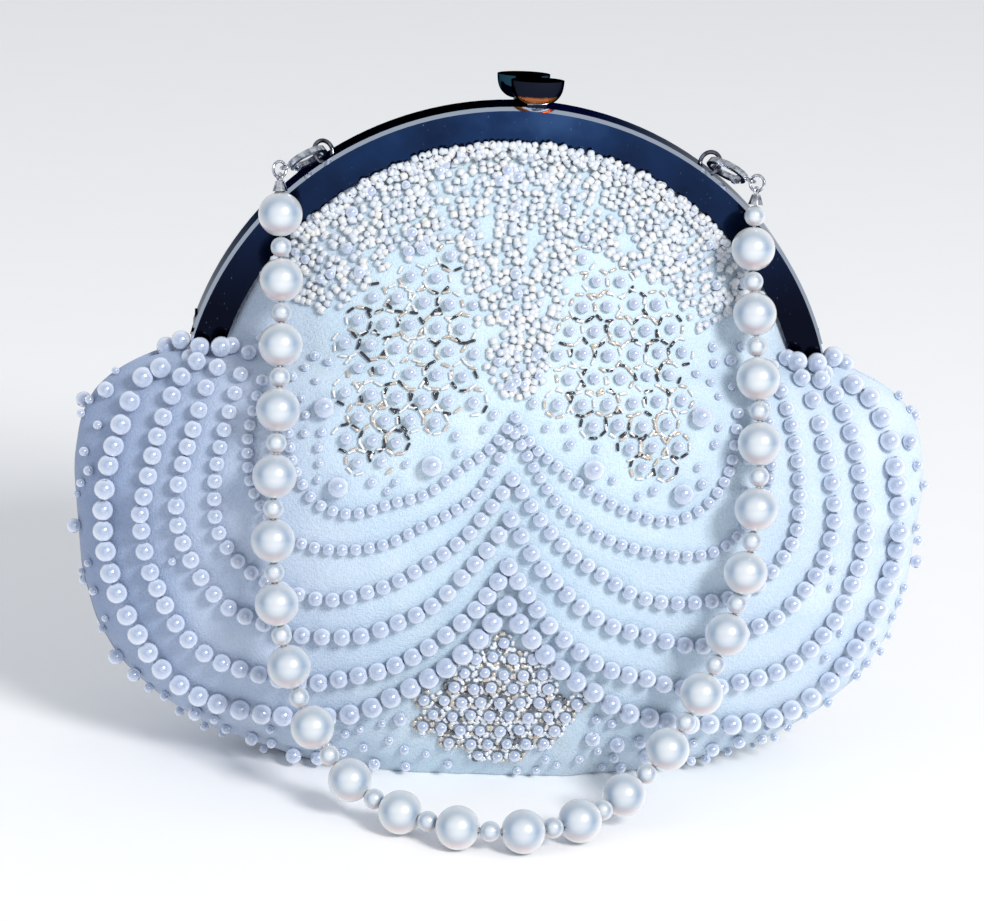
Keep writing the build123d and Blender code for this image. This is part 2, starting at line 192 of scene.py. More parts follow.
# ------------------------------------------------------------------ materials
def pearl_material(name, body, shade, painted_edge_light, painted_reflection, painted_highlight, roughness, rim_start, rim_full):
    """Nacre: a cool body with painted reflection and shade: a warm painted reflection band below its
    middle, painted shade above it, and a painted pale rim and a painted highlight glow at its centre.
    """
    material, tree, shader, add = start_material(name)
    facing = add("ShaderNodeLayerWeight", {"Blend": 0.45}).outputs["Facing"]
    normal = add("ShaderNodeNewGeometry").outputs["Normal"]
    up = add("ShaderNodeSeparateXYZ", {"Vector": normal}).outputs["Z"]
    height = add("ShaderNodeMapRange", {"Value": up, "From Min": -1.0}).outputs[0]
    # painted reflection and shade: the colour changes with which way the surface faces, with a warm painted
    # reflection below the middle and painted shade above it
    painted_reflection_stripe = ramp(
        add, height, [(0.02, body), (0.20, painted_reflection), (0.40, body), (0.62, shade), (0.92, body)],
    )
    # painted highlight and reflection: a pale glow where the surface faces the view square on, and a pale
    # rim where it turns away
    stops = [(0.0, painted_highlight), (0.7 * rim_start, 0.0), (rim_start, 0.0), (rim_full, 1.0)]
    painted_sheen_mask = ramp(add, facing, [(place, (value, value, value)) for place, value in stops])
    coloured = blend_colour(add, painted_sheen_mask, painted_reflection_stripe, (*painted_edge_light, 1))
    varied = ramp(add, bead_tint(add), [(0.0, (0.90, 0.92, 0.96)), (1.0, (1, 1, 1))])
    fine = noise_fac(add, 900.0, 2.0)
    wire(
        tree, shader,
        Base_Color=blend_colour(add, 1.0, coloured, varied, "MULTIPLY"),
        Roughness=map_range(add, fine, roughness - 0.05, roughness + 0.08),
        Specular_IOR_Level=1.0,
        Coat_Weight=1.0,
        Coat_IOR=1.8,
        Coat_Roughness=0.6 * roughness,
        Normal=bump(add, fine, 0.00002, 0.3),
    )
    return material


def crepe_material():
    """Fine crepe: crossed threads, a soft mottle and a little sheen, with painted shade darkening the left
    side and painted light whitening the upper middle.
    """
    material, tree, shader, add = start_material("crepe")
    mottle = noise_fac(add, 60.0, 4.0)
    thread = noise_fac(add, 2600.0, 2.0, (1, 1, 0.45))
    cross = noise_fac(add, 2600.0, 2.0, (0.4, 1, 1))
    weave = add("ShaderNodeMath", {0: thread, 1: cross}, operation="ADD").outputs[0]
    place = add("ShaderNodeTexCoord").outputs["Object"]
    across = add("ShaderNodeSeparateXYZ", {"Vector": place}).outputs["X"]
    side = add("ShaderNodeMapRange", {"Value": across, "From Min": -0.11, "From Max": 0.11}).outputs[0]
    # painted shade and light: darker towards the left side, brightest at the right end
    painted_light_and_shade = ramp(
        add, side,
        [(0.02, (0.31, 0.38, 0.54)), (0.22, (0.54, 0.61, 0.73)), (0.42, (0.57, 0.69, 0.78)),
         (0.62, (0.57, 0.68, 0.77)), (0.85, (0.60, 0.70, 0.80)), (1.0, (0.68, 0.77, 0.88))],
    )
    # painted light: the upper middle is whitened
    height = add("ShaderNodeSeparateXYZ", {"Vector": place}).outputs["Z"]
    upper = add("ShaderNodeMapRange", {"Value": height, "From Min": 0.05, "From Max": 0.11}).outputs[0]
    centre = ramp(
        add, side, [(0.2, (0, 0, 0)), (0.35, (1, 1, 1)), (0.65, (1, 1, 1)), (0.8, (0, 0, 0))],
    )
    painted_light_mask = add("ShaderNodeMath", {0: upper, 1: centre}, operation="MULTIPLY").outputs[0]
    painted_light_and_shade = blend_colour(add, painted_light_mask, painted_light_and_shade, (0.63, 0.75, 0.82, 1))
    patch = ramp(add, mottle, [(0.3, (0.88, 0.92, 0.96)), (0.7, (1, 1, 1))])
    tone = blend_colour(add, 1.0, painted_light_and_shade, patch, "MULTIPLY")
    grain = ramp(add, thread, [(0.38, (0.80, 0.84, 0.90)), (0.58, (1, 1, 1))])
    wire(
        tree, shader,
        Base_Color=blend_colour(add, 0.5, tone, grain, "MULTIPLY"),
        Roughness=0.8,
        Sheen_Weight=0.25,
        Sheen_Roughness=0.4,
        Specular_IOR_Level=0.25,
        Normal=bump(add, weave, 0.0004, 0.6),
    )
    return material


def soft_material(name, dark, light, scale, roughness, depth, sheen=0.1):
    """Plain soft goods: a two-tone mottle with matching relief."""
    material, tree, shader, add = start_material(name)
    grain = noise_fac(add, scale, 5.0)
    wire(
        tree, shader,
        Base_Color=ramp(add, grain, [(0.35, dark), (0.65, light)]),
        Roughness=map_range(add, grain, roughness, roughness + 0.1),
        Sheen_Weight=sheen,
        Normal=bump(add, grain, depth, 0.6),
    )
    return material


def frame_material():
    """Mirror polish whose colour is painted reflection: dark navy, paler and mottled towards the top, with
    a painted highlight on the steep bevel and fine scratches.
    """
    material, tree, shader, add = start_material("frame_polish")
    place = add("ShaderNodeTexCoord").outputs["Object"]
    height = add("ShaderNodeSeparateXYZ", {"Vector": place}).outputs["Z"]
    rise = add("ShaderNodeMapRange", {"Value": height, "From Min": 0.115, "From Max": 0.176}).outputs[0]
    cloud = noise_fac(add, 50.0, 6.0)
    painted_reflection_mask = add("ShaderNodeMath", {0: rise, 1: cloud}, operation="MULTIPLY").outputs[0]
    # painted reflection: the polish's colour is dark navy, paler and mottled towards the top
    tone = ramp(
        add, painted_reflection_mask,
        [(0.06, (0.004, 0.005, 0.012)), (0.28, (0.007, 0.014, 0.040)), (0.46, (0.010, 0.026, 0.078)),
         (0.66, (0.024, 0.058, 0.15))],
    )
    scratch = noise_fac(add, 2200.0, 6.0, (1, 1, 0.35))
    fleck = ramp(add, scratch, [(0.70, (0, 0, 0)), (0.78, (0.12, 0.16, 0.22))])
    normal = add("ShaderNodeNewGeometry").outputs["Normal"]
    bevel = add("ShaderNodeSeparateXYZ", {"Vector": normal}).outputs["Y"]
    steep = add("ShaderNodeMath", {0: bevel}, operation="ABSOLUTE").outputs[0]
    # painted highlight: a pale band on the steep bevel
    edge = ramp(
        add, steep, [(0.50, (0, 0, 0)), (0.62, (1, 1, 1)), (0.80, (1, 1, 1)), (0.86, (0, 0, 0))],
    )
    scratched = blend_colour(add, 1.0, tone, fleck, "ADD")
    wire(
        tree, shader,
        Base_Color=blend_colour(add, edge, scratched, (0.52, 0.59, 0.70, 1)),
        Metallic=1.0,
        Specular_Tint=(0.08, 0.11, 0.18, 1),
        Roughness=map_range(add, scratch, 0.05, 0.16),
        Normal=bump(add, cloud, 0.0004, 0.15),
    )
    return material


def metal_material(name, dark, light, roughness):
    """Bright worn plating."""
    material, tree, shader, add = start_material(name)
    wear = noise_fac(add, 700.0, 5.0)
    wire(
        tree, shader,
        Base_Color=ramp(add, wear, [(0.3, dark), (0.65, light)]),
        Metallic=1.0,
        Specular_Tint=(*light, 1),
        Roughness=map_range(add, wear, roughness, roughness + 0.12),
        Normal=bump(add, wear, 0.00006, 0.4),
    )
    return material


def knob_material(name, low, high, glint):
    """Polished plating whose tones are painted reflection: one tone, a band of another, and a painted glint
    (highlight) near its foot.
    """
    material, tree, shader, add = start_material(name)
    place = add("ShaderNodeTexCoord").outputs["Object"]
    height = add("ShaderNodeSeparateXYZ", {"Vector": place}).outputs["Z"]
    foot = MM * arc_top
    head = foot + 0.007
    rise = add("ShaderNodeMapRange", {"Value": height, "From Min": foot, "From Max": head}).outputs[0]
    worn = noise_fac(add, 500.0, 4.0)
    uneven = map_range(add, worn, -0.08, 0.08)
    mixed = add("ShaderNodeMath", {0: rise, 1: uneven}, operation="ADD").outputs[0]
    # painted highlight and reflection: a glint low on the knob, then a painted reflection band of the low
    # tone
    bands = [(0.10, high), (0.15, glint), (0.21, low), (0.36, low), (0.44, high)]
    wire(
        tree, shader,
        Base_Color=ramp(add, mixed, bands),
        Metallic=1.0,
        Specular_Tint=(*high, 1),
        Roughness=map_range(add, worn, 0.04, 0.12),
        Normal=bump(add, worn, 0.00005, 0.3),
    )
    return material


def bugle_material(name, stops, metallic):
    """Silver-lined glass tubes whose tone changes from bead to bead."""
    material, tree, shader, add = start_material(name)
    made = ramp(add, bead_tint(add), stops)
    made.node.color_ramp.interpolation = "CONSTANT"
    streak = noise_fac(add, 1500.0, 2.0)
    wire(
        tree, shader,
        Base_Color=made,
        Metallic=metallic,
        Roughness=map_range(add, streak, 0.08, 0.25),
        Coat_Weight=0.8,
        Coat_Roughness=0.04,
        Normal=bump(add, streak, 0.00005, 0.4),
    )
    return material


def seed_material():
    """Lustred white glass seed beads, some ivory and some blue-white, with a painted pale rim."""
    material, tree, shader, add = start_material("seed_glass")
    facing = add("ShaderNodeLayerWeight", {"Blend": 0.4}).outputs["Facing"]
    tints = [(0.0, (0.52, 0.57, 0.66)), (0.5, (0.62, 0.66, 0.71)), (1.0, (0.68, 0.67, 0.66))]
    made = ramp(add, bead_tint(add), tints)
    # painted reflection: a pale rim where the bead turns away from the view
    painted_edge_light = ramp(add, facing, [(0.3, (0, 0, 0)), (1.0, (0.7, 0.7, 0.7))])
    cloud = noise_fac(add, 1200.0, 2.0)
    wire(
        tree, shader,
        Base_Color=blend_colour(add, painted_edge_light, made, (0.76, 0.79, 0.84, 1)),
        Roughness=map_range(add, cloud, 0.1, 0.28),
        Coat_Weight=0.8,
        Coat_Roughness=0.05,
        Normal=bump(add, cloud, 0.00004, 0.4),
    )
    return material


mats = {
    # the pearls' shade, band, rim and glow colours are painted shade, painted reflection and painted
    # highlight
    "strand": pearl_material(
        "strand_pearl", body=(0.39, 0.45, 0.51), shade=(0.25, 0.34, 0.46), painted_edge_light=(0.86, 0.85, 0.82),
        painted_reflection=(0.50, 0.36, 0.37), painted_highlight=0.62, roughness=0.30, rim_start=0.26, rim_full=0.74,
    ),
    "pearl": pearl_material(
        "sewn_pearl", body=(0.35, 0.42, 0.57), shade=(0.29, 0.36, 0.51), painted_edge_light=(0.76, 0.82, 0.94),
        painted_reflection=(0.37, 0.39, 0.52), painted_highlight=0.3, roughness=0.24, rim_start=0.05, rim_full=0.46,
    ),
    "crepe": crepe_material(),
    "padding": soft_material("padding", (0.84, 0.85, 0.87), (0.95, 0.95, 0.95), 400.0, 0.9, 0.0004),
    "lining": soft_material("lining", (0.72, 0.75, 0.80), (0.86, 0.88, 0.92), 150.0, 0.4, 0.0002, 0.5),
    "board": soft_material("board", (0.52, 0.46, 0.38), (0.68, 0.62, 0.52), 900.0, 0.85, 0.0001),
    "paper": soft_material("paper_cord", (0.66, 0.62, 0.54), (0.82, 0.79, 0.72), 1500.0, 0.85, 0.0002),
    "thread": soft_material("thread", (0.70, 0.74, 0.82), (0.90, 0.92, 0.95), 3000.0, 0.7, 0.0001),
    "frame": frame_material(),
    "clasp": metal_material("clasp_plate", (0.16, 0.17, 0.22), (0.80, 0.82, 0.86), 0.10),
    "loop": metal_material("loop_plate", (0.012, 0.014, 0.022), (0.20, 0.21, 0.25), 0.06),
    # each knob's tones are painted reflection and its glint a painted highlight
    "front_knob": knob_material(
        "front_knob_polish", low=(0.42, 0.13, 0.04), high=(0.010, 0.012, 0.022), glint=(0.85, 0.86, 0.90),
    ),
    "back_knob": knob_material(
        "back_knob_polish", low=(0.015, 0.04, 0.06), high=(0.012, 0.042, 0.065), glint=(0.03, 0.08, 0.11),
    ),
    "bugle": bugle_material(
        "bugle_glass",
        [(0.0, (0.025, 0.026, 0.034)), (0.27, (0.68, 0.58, 0.49)), (0.58, (0.92, 0.90, 0.88))],
        metallic=0.55,
    ),
    "fan": bugle_material(
        "fan_glass",
        [(0.0, (0.16, 0.16, 0.17)), (0.12, (0.62, 0.56, 0.48)), (0.36, (0.76, 0.78, 0.82)),
         (0.66, (0.90, 0.92, 0.96))],
        metallic=0.35,
    ),
    "seed": seed_material(),
}


# ------------------------------------------------------------------ mesh helpers
# depths of a pearl's dimple at its wall and at its bottom, as shares of the radius
DIMPLE_WALL = 0.86
DIMPLE_FLOOR = 0.8
TUBE_ROUNDING = 0.25          # a glass tube's rounded ends, as a share of its length
FULL_TURN = 6.3               # radians, for turning beads at random


def mesh_object(name, verts, faces, material, smooth=True):
    data = bpy.data.meshes.new(name)
    data.from_pydata([tuple(v) for v in verts], [], faces)
    data.polygons.foreach_set("use_smooth", [smooth] * len(data.polygons))
    data.materials.append(material)
    made = bpy.data.objects.new(name, data)
    bpy.context.scene.collection.objects.link(made)
    return made


def lathe(profile, segments):
    """Turns (radius, height) points about Z; a point on the axis closes the form there."""
    verts, faces, rings = [], [], []
    for radius, z in profile:
        if radius == 0:
            rings.append([len(verts)])
            verts.append((0.0, 0.0, z))
            continue
        rings.append(list(range(len(verts), len(verts) + segments)))
        for step in range(segments):
            turn = 2 * math.pi * step / segments
            verts.append((radius * math.cos(turn), radius * math.sin(turn), z))
    for low, high in zip(rings, rings[1:]):
        for step in range(segments):
            after = (step + 1) % segments
            if len(low) == 1:
                faces.append((low[0], high[after], high[step]))
            elif len(high) == 1:
                faces.append((low[step], low[after], high[0]))
            else:
                faces.append((low[step], low[after], high[after], high[step]))
    return np.array(verts), faces


def bored_ball(diameter, bore, rings, segments):
    """A pearl with a dimple at each end of its bore, in metres."""
    radius = diameter / 2
    start = math.asin(bore / radius)
    profile = [(0, -DIMPLE_FLOOR * radius), (bore, -DIMPLE_WALL * radius)]
    for step in range(rings + 1):
        turn = start + (math.pi - 2 * start) * step / rings
        profile.append((radius * math.sin(turn), -radius * math.cos(turn)))
    profile += [(bore, DIMPLE_WALL * radius), (0, DIMPLE_FLOOR * radius)]
    return lathe([(r * MM, z * MM) for r, z in profile], segments)


def tube(radius, bore, length, segments):
    """A short glass tube with rounded ends."""
    half = length / 2
    lip = min(TUBE_ROUNDING * length, radius - bore)
    shoulder = radius - lip * 0.5
    mouth = bore + 0.02
    throat = half * 0.9
    outer = [(shoulder, -half), (radius, -half + lip), (radius, half - lip), (shoulder, half)]
    profile = [(bore, throat), (bore, -throat), (mouth, -half), *outer, (mouth, half), (bore, throat)]
    return lathe([(r * MM, z * MM) for r, z in profile], segments)


def beads(name, template, places, material, body="bag"):
    """One mesh of many beads: each place is (position mm, bore direction, tint, size factor)."""
    shape, pattern = template
    count = len(shape)
    verts, faces, tints = [], [], []
    for number, (position, along, tint, size) in enumerate(places):
        heading = Vector(along).to_track_quat("Z", "Y").to_matrix()
        turned = heading @ Matrix.Rotation(tint * FULL_TURN, 3, "Z")
        verts.append(shape @ np.array(turned).T * size + np.array(position) * MM)
        faces += [tuple(i + number * count for i in face) for face in pattern]
        tints += [tint] * count
    made = mesh_object(name, np.concatenate(verts), faces, material)
    attribute = made.data.attributes.new("tint", "FLOAT", "POINT")
    attribute.data.foreach_set("value", tints)
    if body:
        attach(made, body)
    return made


# ------------------------------------------------------------------ strand
def strand_curve():
    """The free cord: a smooth curve through the route's points."""
    data = bpy.data.curves.new("strand_thread", "CURVE")
    data.dimensions = "3D"
    data.resolution_u = 10
    spline = data.splines.new("NURBS")
    spline.points.add(len(ROUTE) - 1)
    for point, place in zip(spline.points, ROUTE):
        point.co = (*(value * MM for value in place), 1)
    spline.order_u = 3
    spline.use_endpoint_u = True
    data.materials.append(mats["thread"])
    made = bpy.data.objects.new("strand_thread", data)
    bpy.context.scene.collection.objects.link(made)
    return made


def curve_points(curve):
    """The curve's own line as points in millimetres, and the distance along it of each."""
    evaluated = curve.evaluated_get(bpy.context.evaluated_depsgraph_get())
    line = bpy.data.meshes.new_from_object(evaluated)
    points = np.array([v.co for v in line.vertices]) / MM
    steps = np.linalg.norm(np.diff(points, axis=0), axis=1)
    return points, np.concatenate([[0], np.cumsum(steps)])


def along_line(points, distances, distance):
    """The place and direction at a distance along a line of points."""
    reach = 0.6
    before, place, after = (
        np.array([np.interp(distance + step, distances, points[:, axis]) for axis in range(3)])
        for step in (-reach, 0.0, reach)
    )
    return place, after - before


def build_strand():
    curve = strand_curve()
    points, distances = curve_points(curve)
    length = distances[-1]
    curve.data.bevel_depth = CORD_D / 2 * MM
    curve.data.bevel_resolution = 3
    pitch = (length - 2 * END_GAP) / PEARL_PAIRS
    first = END_GAP + LARGE_PEARL / 2
    large, small = [], []
    for pair in range(PEARL_PAIRS):
        place, along = along_line(points, distances, first + pitch * pair)
        large.append((place, along, rng.random(), 1.0))
        place, along = along_line(points, distances, first + pitch * (pair + 0.5))
        small.append((place, along, rng.random(), 1.0))
    big = beads("strand_large_pearls", bored_ball(LARGE_PEARL, 0.7, 24, 40), large, mats["strand"])
    little = beads("strand_small_pearls", bored_ball(SMALL_PEARL, 0.6, 16, 28), small, mats["strand"])
    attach(curve, "bag")
    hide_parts("strand_cord")
    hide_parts("large_pearls")
    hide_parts("small_pearls")


build_strand()


# ------------------------------------------------------------------ fabric
SEAM = 0.15                   # distance of each cloth's edge from the middle plane, along the side seam
EDGE_START = 104              # the edge moves from the seam into the frame over this height
EDGE_RISE = 7
IN_FRAME = 2                  # an edge deeper than this is inside the frame
YOKE_ROWS = 12
YOKE_GAP = 0.4                # the yoke stops this short of the frame's inner radius
YOKE_TUCK = 1.8               # and its edge then reaches this far behind the frame's face
# each ply: inset from the cloth's outer face, thickness, and its mesh's columns and rows
PLIES = {"crepe": (0.0, 0.9, 150, 130), "padding": (1.6, 1.4, 70, 60), "lining": (3.4, 0.7, 70, 60)}
# the cloth's relief: waves per mm across and up, the seed of each side, and the depth in mm
SOFT_DENT = (0.035, 0.045, 3.1, 1.4)
PUCKER = (0.16, 0.11, 7.7, 0.35)
END_FOLD = (0.05, 0.19, 5.3, 2.4)
FOOT_RUCK = (0.13, 0.05, 2.3, 1.1)


def eased(value, start, span):
    """How far a value has gone through a span, from 0 to 1."""
    return min(1.0, max(0.0, (value - start) / span))


def levels():
    """Level sections from the base to the top: height, half-width, depth, fullness, edge distance, tuck."""
    rows = []
    for z, width, depth, full in POUCH + SHOULDER:
        edge = SEAM + (YOKE_EDGE - SEAM) * eased(z, EDGE_START, EDGE_RISE)
        rows.append((z, width, depth, full, edge, 0.0))
    foot = SHOULDER[-1][0]
    for step in range(1, YOKE_ROWS + 1):
        share = step / YOKE_ROWS
        z = foot + share * (YOKE_TOP - foot)
        width = math.sqrt((band_inner - YOKE_GAP) ** 2 - (z - arc_z) ** 2)
        depth = YOKE_EDGE + (SHOULDER[-1][2] - YOKE_EDGE) * (1 - share) ** 1.1
        full = 1.0 - 0.25 * min(1, share * 4) * (1 - share)
        rows.append((z, width, depth, full, YOKE_EDGE, YOKE_TUCK))
    return rows


def smooth_levels(rows, count, inset):
    """The levels resampled evenly along their outline and shrunk by an inset."""
    table = np.array(rows)
    outline = np.hypot(np.diff(table[:, 0]), np.diff(table[:, 1]) * 0.8)
    places = np.concatenate([[0], np.cumsum(outline)])
    wanted = np.linspace(0, places[-1], count)
    found = np.stack([np.interp(wanted, places, table[:, column]) for column in range(6)], axis=1)
    kernel = np.array([1, 2, 3, 2, 1]) / 9
    for column in (0, 1, 2, 3):
        padded = np.pad(found[:, column], 2, mode="edge")
        found[2:-2, column] = np.convolve(padded, kernel, mode="valid")[2:-2]
    found[:, 1] -= inset
    found[:, 2] -= inset
    found[0, 0] += inset
    found[:, 0] = np.maximum(found[:, 0], found[0, 0])
    in_frame = found[:, 4] > IN_FRAME
    found[:, 4] = np.maximum(0.1, found[:, 4] - inset * in_frame)
    return found


def relief(kind, x, z, side):
    across, up, seed, depth = kind
    return noise.noise(Vector((x * across, z * up, side * seed))) * depth


def wrinkle(x, z, side):
    """Relief of the padded crepe: soft dents, puckers, folds at the ends and rucks near the foot."""
    end = eased(abs(x), 78, 30)
    low = eased(-z, -38, 30)
    calm = eased(z, 118, 20)
    dents = relief(SOFT_DENT, x, z, side) + relief(PUCKER, x, z, side)
    folds = relief(END_FOLD, x, z, side) * end + relief(FOOT_RUCK, x, z, side) * low
    return (dents + folds) * (1 - 0.7 * calm)


def cloth(name, side, ply, material):
    """One ply of the pouch and its yoke as a single cloth; side -1 is the front and 1 the back."""
    inset, thickness, columns, count = PLIES[ply]
    rows = smooth_levels(levels(), count, inset)
    tucked = 1.02             # past each side edge, the cloth runs on into the frame
    verts, faces = [], []
    for z, width, depth, full, edge, tuck in rows:
        for t in [-tucked, *np.linspace(-1, 1, columns), tucked]:
            kept = max(-1.0, min(1.0, t))
            turn = math.sin(kept * math.pi / 2)
            rise = max(0.0, 1 - turn * turn) ** full
            x = width * turn + (t - kept) / (tucked - 1) * tuck
            y = edge + max(0.0, depth - edge) * rise
            lift = wrinkle(x, z, side) * min(1.0, rise * 3)
            verts.append([x, side * (y + lift * 0.8), z])
    across = columns + 2
    base = len(verts)
    # the base: the lowest row drawn in, and then closed along the middle plane
    verts += [[x * 0.93, y * 0.6, z] for x, y, z in verts[:across]]
    verts += [[x * 0.90, side * 0.1, z + 0.05] for x, _, z in verts[:across]]
    corners = [(row * across + column, (row + 1) * across + column)
               for row in range(len(rows) - 1) for column in range(across - 1)]
    for column in range(across - 1):
        corners += [(base + column, column), (base + across + column, base + column)]
    for low, high in corners:
        quad = (low, low + 1, high + 1, high)
        faces.append(quad if side < 0 else quad[::-1])
    made = mesh_object(name, np.array(verts) * MM, faces, material)
    surface = BVHTree.FromPolygons([tuple(v) for v in verts], faces)
    area = sum(polygon.area for polygon in made.data.polygons)
    solid = made.modifiers.new("thickness", "SOLIDIFY")
    solid.thickness = thickness * MM
    solid.offset = -1
    bpy.context.view_layer.objects.active = made
    with bpy.context.temp_override(object=made, active_object=made):
        bpy.ops.object.modifier_apply(modifier=solid.name)
    return made, surface, area


def tuck_in(piece):
    """Bakes a piece of the back's placement into its mesh."""
    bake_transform(piece)


surfaces = {}
for side, word in ((-1, "front"), (1, "back")):
    outer, surfaces[side], area = cloth(word + "_crepe", side, "crepe", mats["crepe"])
    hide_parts(word + "_panel", word + "_yoke")
    padding, _, _ = cloth(word + "_padding", side, "padding", mats["padding"])
    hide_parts(word + "_wadding")
    inner, _, lining_area = cloth(word + "_satin_lining", side, "lining", mats["lining"])
    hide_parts(word + "_lining", word + "_yoke_lining")
    for piece, lead in ((outer, 0), (padding, 4), (inner, 7)):
        if side < 0:
            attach(piece, "bag")
        else:
            tuck_in(piece)


# ------------------------------------------------------------------ embroidery
def on_cloth(x, z, side, lift):
    """The place that far out from the cloth at (x, z) and the cloth's outward normal, or None."""
    from_middle = Vector((x, side * 0.12, z))
    place, normal, _, _ = surfaces[side].ray_cast(from_middle, Vector((0, side, 0)))
    if place is None:
        return None
    if normal.y * side < 0:
        normal = -normal
    return place + normal * lift, normal


def spread(points, pitch):
    """Evenly spaced places along a smooth curve through the points."""
    path = np.array(points, float)
    ends = np.concatenate([[2 * path[0] - path[1]], path, [2 * path[-1] - path[-2]]])
    fine = []
    for a, b, c, d in zip(ends, ends[1:], ends[2:], ends[3:]):
        square = 2 * a - 5 * b + 4 * c - d
        cube = 3 * b - a - 3 * c + d
        for t in np.linspace(0, 1, 12, endpoint=False):
            fine.append(0.5 * (2 * b + (c - a) * t + square * t**2 + cube * t**3))
    fine = np.array(fine + [path[-1]])
    steps = np.concatenate([[0], np.cumsum(np.linalg.norm(np.diff(fine, axis=0), axis=1))])
    wanted = np.arange(0, steps[-1], pitch)
    return np.stack([np.interp(wanted, steps, fine[:, 0]), np.interp(wanted, steps, fine[:, 1])], axis=1)


# Rows of pearls in swags: (diameter, points from the middle out and up), on the right half.
ROWS = [
    (5.5, [(0, 53.1), (9.8, 40.4), (19.7, 31.4), (36.7, 22), (54.9, 18.5), (70.2, 19), (79.2, 23.1),
           (88.2, 30), (93.9, 39.4), (98.8, 49.4), (102, 63.7), (101.5, 76.4), (98.7, 90.3),
           (93.7, 100.8), (86.8, 106.4)]),
    (4.9, [(0, 64.3), (8.8, 49.9), (18.6, 41.8), (30.5, 34.5), (44.5, 30.5), (60.5, 29.9), (74.5, 34.6),
           (83.4, 42.3), (90.1, 55.4), (92.8, 69.6), (90.9, 82), (87.9, 94.5), (83.4, 104), (79.5, 108)]),
    (4.6, [(0, 76), (9.7, 62.3), (19.5, 52.4), (32.4, 45.2), (46.2, 42.4), (59.1, 43.8), (71, 49.2),
           (79.8, 59.3), (84, 71.8), (82.8, 83.9), (80.2, 93.6), (77.2, 103.1), (72.7, 109.4),
           (68.4, 114)]),
    (4.0, [(0, 86.6), (9.7, 73), (20, 63.7), (31.8, 56.5), (45.1, 52.9), (55.9, 54), (66.7, 59.5),
           (73.1, 67.8), (74.6, 78.8), (73.2, 91.5), (69.2, 105.2), (66.8, 111)]),
    (3.1, [(0, 98.5), (9.2, 83.1), (18.4, 74.9), (30.2, 68.8), (41, 66.1), (51.8, 67.1), (59.6, 71.8),
           (65.3, 80.6), (66.7, 91.1), (65.2, 100.7), (63.2, 107.1)]),
    (3.0, [(0, 102.5), (4.8, 95.6), (11.6, 89.6), (20.3, 83.4), (31.1, 78.5), (40.8, 75.8), (49.1, 78.5),
           (54.4, 85.7), (56.3, 93.7), (57.3, 103.2)]),
]
PEARL_LIFT = 0.42             # height of a row pearl's middle above the cloth, as a share of its diameter
ROW_SWAY = 1.3                # how far a row strays from its line
CLOSE_GAP = 0.15              # between the pearls of the rows whose pearls are large
LOOSE_GAP = 0.4               # and of the others
LARGE_SWAG = 4.7
# outlines of the right leaf, of the fan at the foot, and of the right half of the seed beads' field
LEAF = [(16.5, 142.4), (34, 132.9), (41.8, 126.2), (44.6, 114.5), (45, 102.2), (41.7, 83.8),
        (27.1, 93.2), (7.7, 107.4), (10.6, 118.8), (14.5, 131.9)]
FAN = [(0, 45.7), (13, 33), (22.8, 24), (18.9, 15.2), (10, 9), (0, 7.3), (-10, 9), (-18.9, 15.2),
       (-22.8, 24), (-13, 33)]
FIELD = [(0, 106), (6.5, 110), (8.5, 119), (12.5, 132), (16, 143.5), (34.2, 134), (43.5, 126),
         (48, 117), (60, 110), (71, 110), (72, 122), (66, 133), (57, 144), (44, 154), (30, 162),
         (12, 166), (0, 166.5)]
HEX_ROW = 0.866               # row spacing of a hexagonal net, as a share of its pitch
RING_BEADS = 7                # beads in a ring of the leaves' and the fan's nets


def inside(x, z, outline):
    """Whether a point lies in a closed outline."""
    odd = False
    for (x0, z0), (x1, z1) in zip(outline, outline[1:] + outline[:1]):
        if (z0 > z) != (z1 > z) and x < x0 + (z - z0) * (x1 - x0) / (z1 - z0):
            odd = not odd
    return odd


def sew(found, x, z, along, size, lift, side=-1):
    """Adds a bead on the cloth, its bore along a direction in the bag's face, if there is cloth there."""
    there = on_cloth(x, z, side, lift)
    if not there:
        return False
    place, normal = there
    direction = Vector((along[0], 0, along[1]))
    direction -= normal * direction.dot(normal)
    found.append((np.array(place), direction, rng.random(), size))
    return True


taken = []                    # (x, z, radius) of what is already sewn on the front


def row_pearls():
    """The swags of pearls on both halves of the front, largest in the lowest swag."""
    for number, (diameter, points) in enumerate(ROWS):
        found = []
        places = spread(points, diameter + (LOOSE_GAP if diameter < LARGE_SWAG else CLOSE_GAP))
        for flip in (-1, 1):
            for index, (x, z) in enumerate(places):
                if flip < 0 and index == 0:
                    continue
                ahead = places[min(index + 1, len(places) - 1)] - places[max(index - 1, 0)]
                bend = noise.noise(Vector((flip * x * 0.07, z * 0.07, number * 5.0))) * ROW_SWAY
                lift = diameter * PEARL_LIFT
                if sew(found, flip * x, z + bend, (flip * ahead[0], ahead[1]), 1.0, lift):
                    taken.append((flip * x, z, diameter / 2))
        ball = bored_ball(diameter, 0.45, 9, 14)
        beads(f"swag_pearls_{number + 1}", ball, found, mats["pearl"])


def free_place(x, z, radius, gap):
    """Whether a bead of that radius keeps the gap from everything already sewn on."""
    return all((x - a) ** 2 + (z - b) ** 2 > (radius + r + gap) ** 2 for a, b, r in taken)


def leaf_cells():
    """The centres of the leaf's netted rings, in a hand-sewn hexagonal order."""
    pitch, sway, first_x, first_z = 6.4, 0.9, 4, 84
    cells = []
    for row in range(12):
        for column in range(9):
            x = first_x + column * pitch + (row % 2) * pitch / 2
            z = first_z + row * pitch * HEX_ROW
            x += noise.noise(Vector((x * 0.3, z * 0.3, 1))) * sway
            z += noise.noise(Vector((x * 0.3, z * 0.3, 9))) * sway
            if inside(x, z, LEAF):
                cells.append((x, z))
    return cells


